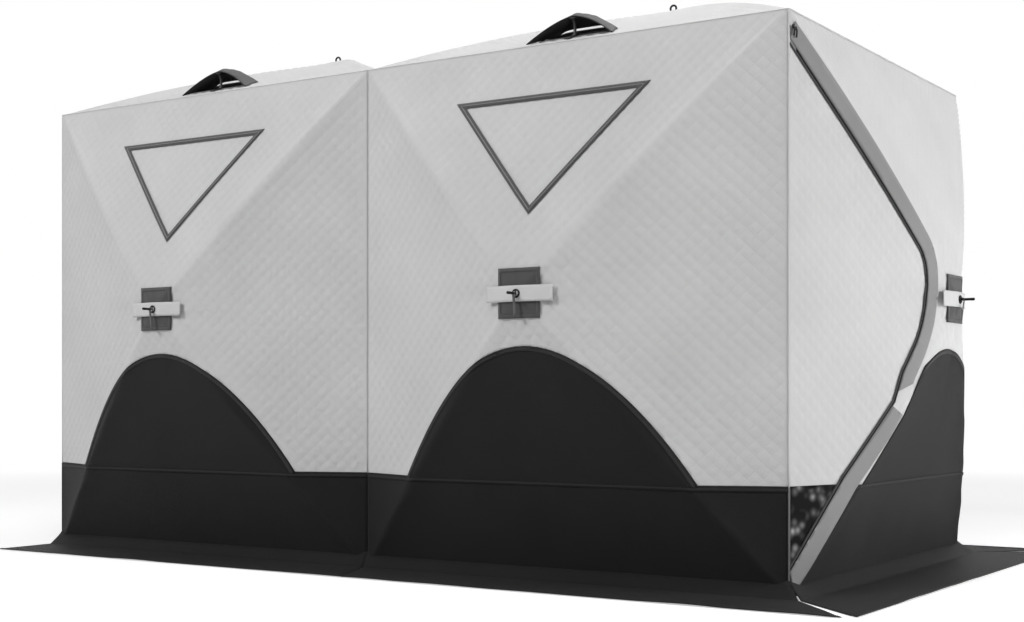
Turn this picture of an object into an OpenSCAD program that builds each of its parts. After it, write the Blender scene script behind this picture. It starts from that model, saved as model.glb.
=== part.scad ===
// Portable two-bay ice fishing shelter: a quilted fabric skin pulled outward at
// the middle of every panel by hubs with four sprung poles each.
// Frame: +X right along the long walls, front wall faces -Y, +Z up,
// origin on the ground under the middle of the shelter.

/* [Shelter] */
// Length of one bay along the long walls
bay_w = 1700; // [1500:10:2100]
// Depth from the front wall to the back wall
depth = 1700; // [1600:10:2100]
// Height of the corners, where walls meet the roof
corner_h = 1870; // [1800:10:2300]
// Height of the wall hubs above the ground
hub_h = 982; // [900:1:1150]
// How far a wall hub stands out of its wall's plane
wall_bulge = 277; // [200:1:340]
// How far a roof hub stands above the corners
roof_bulge = 280; // [200:1:340]
// Extra outward bow of a panel between border and hub, as a share of its bulge
bow_rise = 0.4; // [0.2:0.05:0.5]

/* [Fabric] */
// Thickness of the quilted, insulated fabric
quilt_t = 8; // [5:0.5:12]
// Thickness of the plain black base fabric
base_t = 4; // [2:0.5:5]
// Height of the black band round the foot of the walls
band_h = 350; // [250:5:420]
// Height of the top of the black arch under each wall hub
arch_top = 804; // [650:1:840]
// Half width of the arch where it leaves the band
arch_half = 580; // [400:5:640]

/* [Ground skirt] */
// Width of the skirt that lies on the ground
skirt_w = 340; // [200:5:420]
// Thickness of the skirt fabric
skirt_t = 3; // [2:0.5:5]
// Height at which the skirt is sewn to the wall
hem_h = 42; // [25:1:60]
// How far from the wall's foot the skirt reaches the ground
hem_run = 66; // [45:1:90]
// Slit between the two mitred skirts of the right corners
skirt_slit = 25; // [6:1:40]
// Slant of the skirt joint between the bays
joint_slant = 150; // [0:5:200]

/* [Windows] */
// Half width of the window triangle at its top edge, over the trim
window_half = 391; // [250:1:430]
// Distance of the window's top edge below the corners
window_drop = 187; // [150:1:260]
// Height of the window triangle
window_rise = 430; // [250:1:450]
// Width of the trim round a window
trim_w = 20; // [14:1:30]

/* [Door] */
// Height of the lower end of the door's free edge at the corner
door_foot = 92; // [80:1:200]
// Distance of the upper end of the free edge below the corner
door_drop = 105; // [80:1:160]
// Gap between the door's free edge and the fixed zip band
door_gap = 5; // [5:1:8]
// Width of the fixed band that carries the zip
zip_band_w = 57; // [40:1:75]
// Width of the wall strip between the zip band and the black arch
sliver_w = 24; // [10:1:40]
// Width of the zip tape on the door's free edge
zip_tape_w = 14; // [8:1:25]

/* [Roof vents] */
// Span of a vent hood between its feet, along its front edge and along its rear wall
hood_span = 350; // [250:5:420]
hood_rear_span = 250; // [150:5:300]
// Rise of a vent hood above the roof
hood_rise = 72; // [50:1:110]
// How far the middle of the hood's front edge leans back from its feet
hood_lean = 62; // [30:1:75]
// Thickness of the stiffened hood
hood_t = 3; // [2:0.5:6]
// Distances of the hood's front feet and of its rear wall from the front of the roof
hood_back = 60; // [40:1:65]
hood_end = 200; // [190:1:230]
// Width of the vent opening in the roof
mesh_w = 230; // [150:5:240]
// Front-to-back length of the vent opening
mesh_l = 60; // [50:1:65]

/* [Frame] */
// Diameter of a pole
pole_d = 11; // [8:0.5:14]
// How much more a pole bows than the fabric over it
pole_lift = 12; // [4:1:14]
// Diameter of a hub disc
hub_d = 110; // [80:1:130]
// Thickness of a hub disc
hub_t = 30; // [20:1:40]
// Diameter of the ball of a corner socket
socket_d = 44; // [34:1:52]

/* [Hub dressing] */
// Side of the square patch over a hub
patch_w = 165; // [120:1:200]
// Length of the light band across a patch
tab_l = 257; // [180:1:280]
// Width of the light band
tab_w = 54; // [40:1:70]
// Diameter of the pull rod
rod_d = 8; // [6:0.5:12]
// Length of the pull rod
rod_l = 63; // [40:1:70]
// Outer diameter of a pull ring
ring_d = 30; // [24:1:40]
// Wire diameter of a pull ring
ring_wire = 5; // [3:0.5:6]
// Length of a pull strap
strap_l = 72; // [50:1:110]
// Width of a pull strap
strap_w = 14; // [10:1:20]

/* [Hidden] */

$fn = 48;
// Seating gap between pieces of the frame and the fabric
fit = 0.3;
// Thickness of flat trims and patches sewn onto the fabric
trim_t = 2.5;
// Thickness of the vent mesh, the window covers and the washers
mesh_t = 2;
cover_t = 6;
washer_t = 3;
// Hood: shape of its arch, crown, opening in the rear wall and the strip below it
hood_round = 1.6;
hood_crown = 4;
hood_slit = 23;
hood_sill = 12;
// Distance of the vent opening in front of the hood's front edge, at the middle
hood_reach = 5;
hood_steps = 10;
// Strut under a vent hood, and how far its foot stands in front of the opening
strut_w = 12;
strut_t = 3;
strut_in = 8;
// Height of the centre of a bottom socket
socket_foot = 32;
// Stem between a hub disc and the fabric, and the room between a disc and a pole
stem_d = 30;
hub_clear = 0.8;
// Thickness of a pull strap, and where it hangs along its rod
strap_t = 2;
strap_out = 10;
// Zip sliders: size, and how far their lower end hangs below the corner
slider_w = 8;
slider_l = 25;
slider_t = 4;
slider_drop = 87;
// Half of the stretch between the zip bands
break_half = 25;
// Shares of the way from a panel's border to its hub, where its facets bend
steps = [0, 0.25, 0.5, 0.75, 0.97];
// Half extent of the prisms that cut outlines out of a panel
reach = 500;
// Steps along half of an arch, and along the nose of the door
arch_steps = 9;
nose_steps = 8;

// A panel is [width, lowest v, highest v, v of its hub, bulge]. Its own frame has
// u across, v up the panel and n outward, drawn as X, Y and Z.
long_panel = [bay_w, 0, corner_h, hub_h, wall_bulge];
end_panel = [depth, 0, corner_h, hub_h, wall_bulge];
roof_panel = [bay_w, -depth/2, depth/2, 0, roof_bulge];

// ---------- surface of a bowed panel ----------
function bowed(h) = h + bow_rise*h*(1 - h);
function level(bulge, h) = bulge*lookup(h, [for (s = steps) [s, bowed(s)]]);

// Four corners of the ring at share h, moved in by inset = [left, right, bottom, top]
function ring(p, h, n, inset) =
    let (far = 1 - h,
         left = far*(-p[0]/2 + inset[0]),
         right = far*(p[0]/2 - inset[1]),
         low = p[3] + far*(p[1] + inset[2] - p[3]),
         high = p[3] + far*(p[2] - inset[3] - p[3]),
         out = p[4]*bowed(h) + n)
    [[left, low, out], [right, low, out], [right, high, out], [left, high, out]];

// Closed layer of a panel between two offsets from its outer surface
module layer(p, upper, lower, inset = [0, 0, 0, 0]) {
    count = len(steps);
    under = 4*count;
    last = 4*(count - 1);
    points = concat(
        [for (h = steps) each ring(p, h, upper, [0, 0, 0, 0])],
        [for (h = steps) each ring(p, h, lower, inset)]);
    faces = concat(
        [for (r = [0:count - 2], c = [0:3])
            let (a = 4*r + c, b = 4*r + (c + 1)%4) [a, a + 4, b + 4, b]],
        [[last + 3, last + 2, last + 1, last]],
        [for (r = [0:count - 2], c = [0:3])
            let (a = under + 4*r + c, b = under + 4*r + (c + 1)%4) [b, b + 4, a + 4, a]],
        [[under + last, under + last + 1, under + last + 2, under + last + 3]],
        [for (c = [0:3]) let (d = (c + 1)%4) [c, d, under + d, under + c]]);
    polyhedron(points, faces);
}

// Part of a layer whose flat outline is the children
module cut_layer(p, upper, lower, inset = [0, 0, 0, 0]) {
    intersection() {
        layer(p, upper, lower, inset);
        translate([0, 0, -reach]) linear_extrude(2*reach) children();
    }
}

// ---------- where panels stand; bay and end are -1 on the left, 1 on the right ----------
module on_front(bay) translate([bay*bay_w/2, -depth/2, 0]) rotate([90, 0, 0]) children();
module on_back(bay) rotate([0, 0, 180]) on_front(-bay) children();
module on_end(end) rotate([0, 0, 90*end]) translate([0, -bay_w, 0]) rotate([90, 0, 0]) children();
module on_roof(bay) translate([bay*bay_w/2, 0, corner_h]) children();

// Mitre of a layer t thick: only at outer corners (outer is -1 or 1, or 0 for both)
function mitre(t, outer, bottom, top) =
    [outer <= 0 ? t : 0, outer >= 0 ? t : 0, bottom*t, top*t];

// ---------- flat outlines in panel frames ----------
module whole(p) translate([-p[0], p[1] - 1]) square([2*p[0], p[2] - p[1] + 2]);

module base_outline(p) {
    translate([-p[0], -1]) square([2*p[0], band_h + 1]);
    polygon([for (i = [-arch_steps:arch_steps])
        let (t = i/arch_steps) [arch_half*t, band_h - 1 + (arch_top - band_h + 1)*(1 - t*t)]]);
}

// Window triangle, moved in by a distance
module window_outline(inward) {
    top = corner_h - window_drop;
    offset(delta = -inward)
        polygon([[-window_half, top], [window_half, top], [0, top - window_rise]]);
}

// Height of the end panel's ridges at distance d from the corner
function upper_ridge(d) = corner_h - (corner_h - hub_h)*d/(depth/2);
function lower_ridge(d) = hub_h*d/(depth/2);
function bezier(a, b, c, d, t) =
    a*pow(1 - t, 3) + 3*b*t*pow(1 - t, 2) + 3*c*t*t*(1 - t) + d*pow(t, 3);

// Free edge of the door as [distance from the corner, height], top to bottom. It
// keeps inside the near facet: a shoulder under the upper ridge, a round nose
// beside the hub, a waist, and a slightly bowed line down to its end at the corner.
function door_edge() =
    let (half = depth/2,
         top = [0, corner_h - door_drop],
         shoulder = [half - 260, upper_ridge(half - 260) - 90],
         nose_end = [half - 273, hub_h - 170],
         waist = [half - 382, lower_ridge(half - 382) + 85],
         shin = [half - 620, lower_ridge(half - 620) + 114],
         foot = [0, door_foot],
         nose = [for (i = [0:nose_steps])
             bezier(shoulder, [half - 166, hub_h + 103], [half - 195, hub_h - 52], nose_end,
                    i/nose_steps)])
    concat([2*top - shoulder], nose, [[half - 337, hub_h - 259], waist, shin], [foot*1.5 - shin*0.5]);

// Outline of the door, grown by a distance; it runs past the corner on its hinge side
module door_outline(grow) {
    offset(delta = grow)
        polygon([for (e = door_edge()) [e[0] - depth/2, e[1]]]);
}

// Strip of the end wall that shows between the zip band and the black arch
module sliver_outline()
    difference() {
        door_outline(door_gap + zip_band_w + sliver_w);
        translate([-depth, -1]) square([2*depth, band_h + 1]);
    }

// ---------- walls ----------
module quilted_part(p, outer) {
    cut_layer(p, 0, -quilt_t, mitre(quilt_t, outer, 0, 1))
        difference() {
            whole(p);
            base_outline(p);
            children();
        }
}

module long_wall(outer)
    quilted_part(long_panel, outer) window_outline(trim_w/2);

module base_part(p, outer) {
    cut_layer(p, 0, -base_t, mitre(base_t, outer, 0, 1))
        difference() {
            base_outline(p);
            children();
        }
}

fabric_grey = [0.74, 0.74, 0.75];
base_black = [0.13, 0.13, 0.14];

module front_left_wall() color(fabric_grey) on_front(-1) long_wall(-1);
module front_right_wall() color(fabric_grey) on_front(1) long_wall(1);
module back_left_wall() color(fabric_grey) on_back(-1) long_wall(1);
module back_right_wall() color(fabric_grey) on_back(1) long_wall(-1);
module left_end_wall() color(fabric_grey) on_end(-1) quilted_part(end_panel, 0);
module right_end_wall()
    color(fabric_grey) on_end(1)
        cut_layer(end_panel, 0, -quilt_t, mitre(quilt_t, 0, 0, 1))
            difference() {
                whole(end_panel);
                difference() {
                    base_outline(end_panel);
                    sliver_outline();
                }
                door_outline(door_gap);
            }

module front_left_base() color(base_black) on_front(-1) base_part(long_panel, -1);
module front_right_base() color(base_black) on_front(1) base_part(long_panel, 1);
module back_left_base() color(base_black) on_back(-1) base_part(long_panel, 1);
module back_right_base() color(base_black) on_back(1) base_part(long_panel, -1);
module left_end_base() color(base_black) on_end(-1) base_part(end_panel, 0);
module right_end_base()
    color(base_black) on_end(1) base_part(end_panel, 0) {
        door_outline(door_gap);
        sliver_outline();
    }

// ---------- ground skirt ----------
// Slope of the skirt's sewn edge, its thickness measured upright, and the highest
// point of its seam, at the corners
function hem_rise(p) = hem_h/(hem_run - level(p[4], hem_h/p[3]));
function hem_up(p) = skirt_t*sqrt(1 + pow(hem_rise(p), 2));
function hem_top(p) = hem_rise(p)*hem_run + hem_up(p);

// Bent strip: flat on the ground, then up to its seam on the wall. The outer ends
// of the strip are shifted along the wall by slant0 and slant1.
module skirt(p, slant0, slant1) {
    rise = hem_rise(p);
    up = hem_up(p);
    within = 40;
    seam = rise*(hem_run + within);
    side = p[0]/2;
    color(base_black)
        difference() {
            intersection() {
                rotate([0, -90, 0]) linear_extrude(4*p[0], center = true)
                    polygon([[skirt_w, 0], [skirt_w, skirt_t],
                             [hem_run + (up - skirt_t)/rise, skirt_t],
                             [-within, seam + up], [-within, seam], [hem_run, 0]]);
                translate([0, reach, 0]) rotate([90, 0, 0]) linear_extrude(2*reach)
                    polygon([[-side, -within], [side, -within], [side, 0], [side + slant1, skirt_w],
                             [-side + slant0, skirt_w], [-side, 0]]);
            }
            layer(p, 0, -reach);
        }
}

// Shift of a mitred end, which leaves half of the slit at the corner
mitred = skirt_w - skirt_slit;

module front_left_skirt() on_front(-1) skirt(long_panel, 0, joint_slant);
module front_right_skirt() on_front(1) skirt(long_panel, joint_slant, mitred);
module back_left_skirt() on_back(-1) skirt(long_panel, -joint_slant, 0);
module back_right_skirt() on_back(1) skirt(long_panel, -mitred, -joint_slant);
module left_end_skirt() on_end(-1) skirt(end_panel, 0, 0);
module right_end_skirt() on_end(1) skirt(end_panel, -mitred, mitred);

// ---------- roof ----------
// The vents stand on the lowest stretch of the roof's front facet, whose frame has
// X across, Y up the slope and Z out of the roof
roof_slope = atan(level(roof_bulge, steps[1])/(steps[1]*depth/2));
module on_vent(bay)
    on_roof(bay) translate([0, -depth/2, 0]) rotate([roof_slope, 0, 0]) children();

module vent_hole() {
    near = hood_back + hood_lean - hood_reach;
    translate([-mesh_w/2, -depth/2 + near*cos(roof_slope)])
        square([mesh_w, mesh_l*cos(roof_slope)]);
}

module roof_part(bay)
    color(fabric_grey) on_roof(bay)
        cut_layer(roof_panel, 0, -quilt_t, mitre(quilt_t, bay, 1, 1))
            difference() {
                whole(roof_panel);
                vent_hole();
            }

module left_roof() roof_part(-1);
module right_roof() roof_part(1);

module vent_meshes()
    color("dimgray") for (bay = [-1, 1]) on_roof(bay)
        cut_layer(roof_panel, -mesh_t, -2*mesh_t) vent_hole();

// Share of a hood's rise at t, which runs from -1 to 1 between its feet
function hood_share(t) = 1 - pow(abs(t), hood_round);
function hood_front(t) = hood_back + hood_lean*hood_share(t);

// Place at t and at a share of the way from the hood's front edge to its rear wall
function hood_place(t, share, height) =
    [t*(hood_span + (hood_rear_span - hood_span)*share)/2,
     hood_front(t) + (hood_end - hood_front(t))*share, height];
function wall_share(t) = hood_t/(hood_end - hood_front(t));

// Section of a hood at t: over the top from the front edge, down the rear wall, and
// back inside
function hood_section(t) =
    let (s = hood_share(t),
         wall = wall_share(t),
         top = fit + hood_t + (hood_rise - hood_t)*s,
         low = fit + hood_slit*s)
    [hood_place(t, 0, top), hood_place(t, 0.5, top + hood_crown*s),
     hood_place(t, 1, top - hood_crown*s),
     hood_place(t, 1 + wall, low), hood_place(t, 1, low),
     hood_place(t, 1 - wall, top - hood_t - hood_crown*s),
     hood_place(t, 0.5, top - hood_t + hood_crown*s), hood_place(t, 0, top - hood_t)];

// Strip below the slit in the rear wall, as a section of the same kind
function sill_section(t) =
    let (wall = wall_share(t), high = fit + hood_sill*hood_share(t))
    [hood_place(t, 1 - wall, high), hood_place(t, 1, high),
     hood_place(t, 1, fit), hood_place(t, 1 - wall, fit)];

// Solid through sections, each a loop of points, from left to right
module through(sections) {
    m = len(sections[0]);
    n = len(sections);
    points = [for (section = sections) each section];
    faces = concat(
        [[for (k = [0:m - 1]) k]],
        [[for (k = [m - 1:-1:0]) (n - 1)*m + k]],
        [for (i = [0:n - 2], k = [0:m - 1])
            let (j = (k + 1)%m) each [[i*m + k, (i + 1)*m + k, (i + 1)*m + j],
                                      [i*m + k, (i + 1)*m + j, i*m + j]]]);
    polyhedron(points, faces, convexity = 4);
}

module vent_hoods() {
    over = [for (i = [-hood_steps:hood_steps]) i/hood_steps];
    sill = [for (t = over) if (abs(t) < 0.9) t];
    color("slategray") for (bay = [-1, 1]) on_vent(bay) {
        through([for (t = over) hood_section(t)]);
        through([for (t = sill) sill_section(t)]);
    }
}

module vent_struts() {
    foot = hood_back + hood_lean - hood_reach - strut_in;
    top = hood_back + hood_lean + strut_t;
    color("black") for (bay = [-1, 1]) on_vent(bay)
        hull() {
            translate([-strut_w/2, foot - strut_t, fit]) cube([strut_w, strut_t, 1]);
            translate([-strut_w/2, top, hood_rise - hood_t - fit - 1]) cube([strut_w, strut_t, 1]);
        }
}

// ---------- windows ----------
module window_cover()
    cut_layer(long_panel, 0, -cover_t) window_outline(trim_w/2);

module window_trim()
    cut_layer(long_panel, trim_t, 0)
        difference() {
            window_outline(0);
            window_outline(trim_w);
        }

module front_window_covers() color("lightgray") for (bay = [-1, 1]) on_front(bay) window_cover();
module back_window_covers() color("lightgray") for (bay = [-1, 1]) on_back(bay) window_cover();
module front_window_trims() color("dimgray") for (bay = [-1, 1]) on_front(bay) window_trim();
module back_window_trims() color("dimgray") for (bay = [-1, 1]) on_back(bay) window_trim();

// ---------- sockets and hubs ----------
socket_in = quilt_t + socket_d/2 + fit;
function socket(ix, iy, z) = [ix*(bay_w - socket_in), iy*(depth/2 - socket_in), z];
function top_socket(ix, iy) = socket(ix, iy, corner_h - socket_in);
function bottom_socket(ix, iy) = socket(ix, iy, socket_foot);

module top_sockets()
    color("black") for (ix = [-1:1], iy = [-1, 1])
        translate(top_socket(ix, iy)) sphere(d = socket_d);

module bottom_sockets()
    color("black") for (ix = [-1:1], iy = [-1, 1]) translate(bottom_socket(ix, iy)) {
        sphere(d = socket_d);
        translate([0, 0, -socket_foot]) cylinder(d = socket_d, h = socket_foot);
    }

// Outer face of a hub disc, just under the fabric round it, and the small flat
// of the fabric over it
function hub_face(p) =
    level(p[4], 1 - hub_d/2/min(p[0]/2, p[2] - p[3], p[3] - p[1])) - quilt_t - fit;
function flat_n(p) = p[4]*bowed(steps[len(steps) - 1]);
function hub_centre(p) = hub_face(p) - hub_t/2;

module hub(p)
    translate([0, p[3], hub_face(p) - hub_t]) {
        cylinder(d = hub_d, h = hub_t);
        cylinder(d = stem_d, h = hub_t - hub_face(p) + flat_n(p) - quilt_t);
    }

module at_walls() {
    for (bay = [-1, 1]) {
        on_front(bay) children(0);
        on_back(bay) children(0);
        on_end(bay) children(1);
    }
}

module wall_hubs() color("black") at_walls() { hub(long_panel); hub(end_panel); }
module roof_hubs() color("black") for (bay = [-1, 1]) on_roof(bay) hub(roof_panel);

// ---------- poles ----------
function pole_bow(p) = bow_rise*p[4]/4 + pole_lift;

// Sprung rod of panel p from socket a to hub b, bowed towards out
module pole(p, a, b, out) {
    bow = pole_bow(p);
    span = norm(b - a);
    y = (b - a)/span;
    lean = out - (out*y)*y;
    x = lean/norm(lean);
    z = cross(x, y);
    radius = span*span/(8*bow) + bow/2;
    centre = (a + b)/2 + x*(bow - radius);
    half = asin(span/2/radius);
    at_socket = (socket_d/2 + fit)/radius*180/PI;
    at_hub = (hub_d/2 + hub_clear)/radius*180/PI;
    multmatrix([[x[0], y[0], z[0], centre[0]], [x[1], y[1], z[1], centre[1]],
                [x[2], y[2], z[2], centre[2]], [0, 0, 0, 1]])
        rotate([0, 0, at_socket - half])
            rotate_extrude(angle = 2*half - at_socket - at_hub)
                translate([radius, 0]) circle(d = pole_d);
}

module long_wall_poles(side) {
    color("darkgray") for (bay = [-1, 1], ix = [0, bay]) {
        hub_at = [bay*bay_w/2, side*(depth/2 + hub_centre(long_panel)), hub_h];
        pole(long_panel, top_socket(ix, side), hub_at, [0, side, 0]);
        pole(long_panel, bottom_socket(ix, side), hub_at, [0, side, 0]);
    }
}

module front_poles() long_wall_poles(-1);
module back_poles() long_wall_poles(1);

module end_poles()
    color("darkgray") for (end = [-1, 1], iy = [-1, 1]) {
        hub_at = [end*(bay_w + hub_centre(end_panel)), 0, hub_h];
        pole(end_panel, top_socket(end, iy), hub_at, [end, 0, 0]);
        pole(end_panel, bottom_socket(end, iy), hub_at, [end, 0, 0]);
    }

module roof_poles()
    color("darkgray") for (bay = [-1, 1], ix = [0, bay], iy = [-1, 1])
        pole(roof_panel, top_socket(ix, iy),
             [bay*bay_w/2, 0, corner_h + hub_centre(roof_panel)], [0, 0, 1]);

// ---------- hub dressing ----------
module centred(p, w, h) translate([-w/2, p[3] - h/2]) square([w, h]);
module patch(p) cut_layer(p, trim_t, 0) centred(p, patch_w, patch_w);
module tab(p) cut_layer(p, 2*trim_t, trim_t) centred(p, tab_l, tab_w);

module torus(outer_d, wire)
    rotate_extrude() translate([(outer_d - wire)/2, 0]) circle(d = wire, $fn = 24);

// Ring that lies round the foot of a rod
module pull(p)
    translate([0, p[3], flat_n(p) + 2*trim_t]) {
        cylinder(d = ring_d - ring_wire, h = washer_t);
        translate([0, 0, washer_t]) torus(ring_d, ring_wire);
        cylinder(d = rod_d, h = rod_l);
    }

module strap(p)
    translate([-strap_w/2, p[3] - rod_d/2 - fit - strap_l, flat_n(p) + 2*trim_t + strap_out])
        cube([strap_w, strap_l, strap_t]);

module hub_patches() color("dimgray") at_walls() { patch(long_panel); patch(end_panel); }
module hub_tabs() color("lightgray") at_walls() { tab(long_panel); tab(end_panel); }
module hub_pulls() color("black") at_walls() { pull(long_panel); pull(end_panel); }
module pull_straps() color("black") at_walls() { strap(long_panel); strap(end_panel); }

// Upright ring on a washer, on top of each roof hub
module roof_rings()
    color("black") for (bay = [-1, 1]) on_roof(bay) translate([0, 0, flat_n(roof_panel)]) {
        cylinder(d = ring_d, h = washer_t);
        translate([0, 0, washer_t + ring_d/2 - 1]) rotate([90, 0, 0]) torus(ring_d, ring_wire);
    }

// ---------- door and its zip ----------
// Middle of the stretch where the zip tape shows between the two bands
zip_break = hub_h - 357;

module zip_band_outline()
    difference() {
        door_outline(door_gap + zip_band_w);
        door_outline(door_gap);
    }

module zip_band_upper()
    color("gray") on_end(1) cut_layer(end_panel, trim_t, 0)
        difference() {
            zip_band_outline();
            translate([-depth, -1]) square([2*depth, zip_break + break_half + 1]);
        }

module zip_band_lower()
    color("gray") on_end(1) cut_layer(end_panel, trim_t, 0)
        intersection() {
            zip_band_outline();
            translate([-depth, hem_top(end_panel) + fit])
                square([2*depth, zip_break - break_half - hem_top(end_panel) - fit]);
        }

module zip_pulls()
    color("black") on_end(1) for (i = [0, 1])
        cut_layer(end_panel, trim_t + slider_t, trim_t)
            translate([-depth/2 + slider_w*(0.8 + 1.5*i), corner_h - slider_drop])
                square([slider_w, slider_l]);

module door_panel()
    color("lightgray") on_end(1)
        cut_layer(end_panel, 0, -quilt_t, mitre(quilt_t, 0, 0, 1))
            difference() {
                door_outline(0);
                translate([-depth, -1]) square([2*depth, band_h + 1]);
            }

module door_lower_panel()
    color(base_black) on_end(1)
        cut_layer(end_panel, 0, -base_t, mitre(base_t, 0, 0, 1))
            intersection() {
                door_outline(0);
                translate([-depth, 0]) square([2*depth, band_h]);
            }

module door_zip_tape()
    color("black") on_end(1) cut_layer(end_panel, trim_t, 0)
        difference() {
            door_outline(0);
            door_outline(-zip_tape_w);
        }

front_left_wall();
front_right_wall();
back_left_wall();
back_right_wall();
left_end_wall();
right_end_wall();
front_left_base();
front_right_base();
back_left_base();
back_right_base();
left_end_base();
right_end_base();
front_left_skirt();
front_right_skirt();
back_left_skirt();
back_right_skirt();
left_end_skirt();
right_end_skirt();
left_roof();
right_roof();
front_window_covers();
back_window_covers();
front_window_trims();
back_window_trims();
vent_hoods();
vent_struts();
vent_meshes();
front_poles();
back_poles();
end_poles();
roof_poles();
wall_hubs();
roof_hubs();
top_sockets();
bottom_sockets();
hub_patches();
hub_tabs();
hub_pulls();
pull_straps();
roof_rings();
zip_band_upper();
zip_band_lower();
zip_pulls();
door_panel();
door_lower_panel();
door_zip_tape();
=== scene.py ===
"""Looks of the two-bay hub ice fishing shelter, in metres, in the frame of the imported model."""
import math

import bpy
import numpy as np
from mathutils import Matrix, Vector, noise
from mathutils.geometry import delaunay_2d_cdt


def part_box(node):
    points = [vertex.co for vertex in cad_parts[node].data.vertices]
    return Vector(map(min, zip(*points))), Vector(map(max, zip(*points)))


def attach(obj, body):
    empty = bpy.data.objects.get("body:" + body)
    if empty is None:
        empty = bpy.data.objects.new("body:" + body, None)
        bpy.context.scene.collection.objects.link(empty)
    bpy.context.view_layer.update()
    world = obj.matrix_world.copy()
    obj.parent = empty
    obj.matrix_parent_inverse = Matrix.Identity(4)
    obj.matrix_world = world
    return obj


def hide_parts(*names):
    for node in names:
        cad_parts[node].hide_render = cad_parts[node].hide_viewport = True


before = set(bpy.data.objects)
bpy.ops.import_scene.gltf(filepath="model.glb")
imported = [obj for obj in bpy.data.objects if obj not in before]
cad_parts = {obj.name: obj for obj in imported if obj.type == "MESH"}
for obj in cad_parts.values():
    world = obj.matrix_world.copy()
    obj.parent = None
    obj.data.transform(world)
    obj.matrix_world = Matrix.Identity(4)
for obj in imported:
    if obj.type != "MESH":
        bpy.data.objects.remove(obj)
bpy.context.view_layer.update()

# ---------------- sizes
wall_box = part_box("front_right_wall")
end_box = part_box("right_end_wall")
BAY = wall_box[1][0] - wall_box[0][0]  # width of one bay
DEPTH = end_box[1][1] - end_box[0][1]
CORNER = end_box[1][2]  # height of the wall corners
BAND = wall_box[0][2]  # height of the black foot beside its arch
HUB = (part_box("wall_hubs")[0][2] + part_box("wall_hubs")[1][2]) / 2
ARCH_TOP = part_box("front_right_base")[1][2]
ARCH_HALF = 0.580
WALL_BULGE = 0.277  # how far a hub stands out of its wall
ROOF_BULGE = 0.280
BOW = 0.4  # how much the cloth bows out beyond the flat facets
QUILT = 0.050  # width and height of a quilted diamond
PUFF = 0.0031  # how far its middle stands out of its stitching
WALL_T = 0.008
BASE_T = 0.004
WALL_LAP = 0.1  # how far the wall cloths run down behind the foot cloths
CREASE = 0.0012  # depth of a stitched line
EAVE_INSET = 0.002
WINDOW_DROP, WINDOW_HALF, WINDOW_RISE = 0.187, 0.391, 0.430
SKIRT_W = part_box("left_end_skirt")[1][0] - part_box("left_end_skirt")[0][0]
HEM_H = 0.042  # the skirt's hem climbs the wall to this height
HEM_RUN = 0.066  # from the wall's plane to where the hem meets the ground sheet
HEM_GAP = 0.016
DOOR_FOOT = 0.092  # height of the door's foot at the hinge
DOOR_DROP = 0.105  # from the wall corner down to the door's top
DOOR_GAP = 0.005
DOOR_CUT = 0.004  # from the door's edge to the cut in the wall
DOOR_PAST = 0.05  # how far that cut runs past the corner
HINGE_CLEAR = 0.024  # from the hinge to the ends of the fixed zip tape
ZIP_BAND = 0.057
SLIVER = DOOR_GAP + ZIP_BAND + 0.024  # from the door's edge to the black foot beside the zip band


# ---------------- materials
class Nodes:
    """Short way to write the node tree of a material or a world."""

    def __init__(self, name, kind="materials", shader="Principled BSDF"):
        self.owner = getattr(bpy.data, kind).new(name)
        self.owner.use_nodes = True
        self.tree = self.owner.node_tree
        self.shader = self.tree.nodes[shader]

    def add(self, kind, inputs=None, **props):
        node = self.tree.nodes.new(kind)
        for key, value in props.items():
            setattr(node, key, value)
        for key, value in (inputs or {}).items():
            self.put(value, node.inputs[key])
        return node

    def put(self, value, socket):
        if isinstance(value, bpy.types.NodeSocket):
            self.tree.links.new(value, socket)
        else:
            socket.default_value = value

    def math(self, operation, a, b=0.0):
        return self.add("ShaderNodeMath", {0: a, 1: b}, operation=operation).outputs[0]

    def ramp(self, value, low, high, out_low=0.0, out_high=1.0):
        node = self.add("ShaderNodeMapRange", {0: value, 1: low, 2: high, 3: out_low, 4: out_high})
        return node.outputs[0]

    def mix(self, share, a, b):
        node = self.add("ShaderNodeMix", data_type="RGBA")
        self.put(share, node.inputs[0])
        self.put(a, node.inputs[6])
        self.put(b, node.inputs[7])
        return node.outputs[2]

    def noise(self, vector, scale, detail=3.0, rough=0.5):
        node = self.add("ShaderNodeTexNoise", {"Scale": scale, "Detail": detail, "Roughness": rough})
        self.put(vector, node.inputs["Vector"])
        return node.outputs["Fac"]

    def bump(self, height, distance, strength=1.0, normal=None):
        node = self.add("ShaderNodeBump", {"Strength": strength, "Distance": distance})
        self.put(height, node.inputs["Height"])
        if normal is not None:
            self.put(normal, node.inputs["Normal"])
        return node.outputs["Normal"]

    def place(self, space="UV"):
        """A place, with its first two coordinates."""
        place = self.add("ShaderNodeTexCoord").outputs[space]
        split = self.add("ShaderNodeSeparateXYZ", {0: place})
        return place, split.outputs[0], split.outputs[1]

    def threads(self, along, pitch):
        """Waves of that pitch."""
        return self.math("SINE", self.math("MULTIPLY", along, 2 * math.pi / pitch))

    def surface(self, inputs):
        """Puts values or links into the shader's named inputs, and gives the material or world."""
        for key, value in inputs.items():
            self.put(value, self.shader.inputs[key])
        return self.owner


def grey(level):
    return (level, level, level, 1.0)


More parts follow.
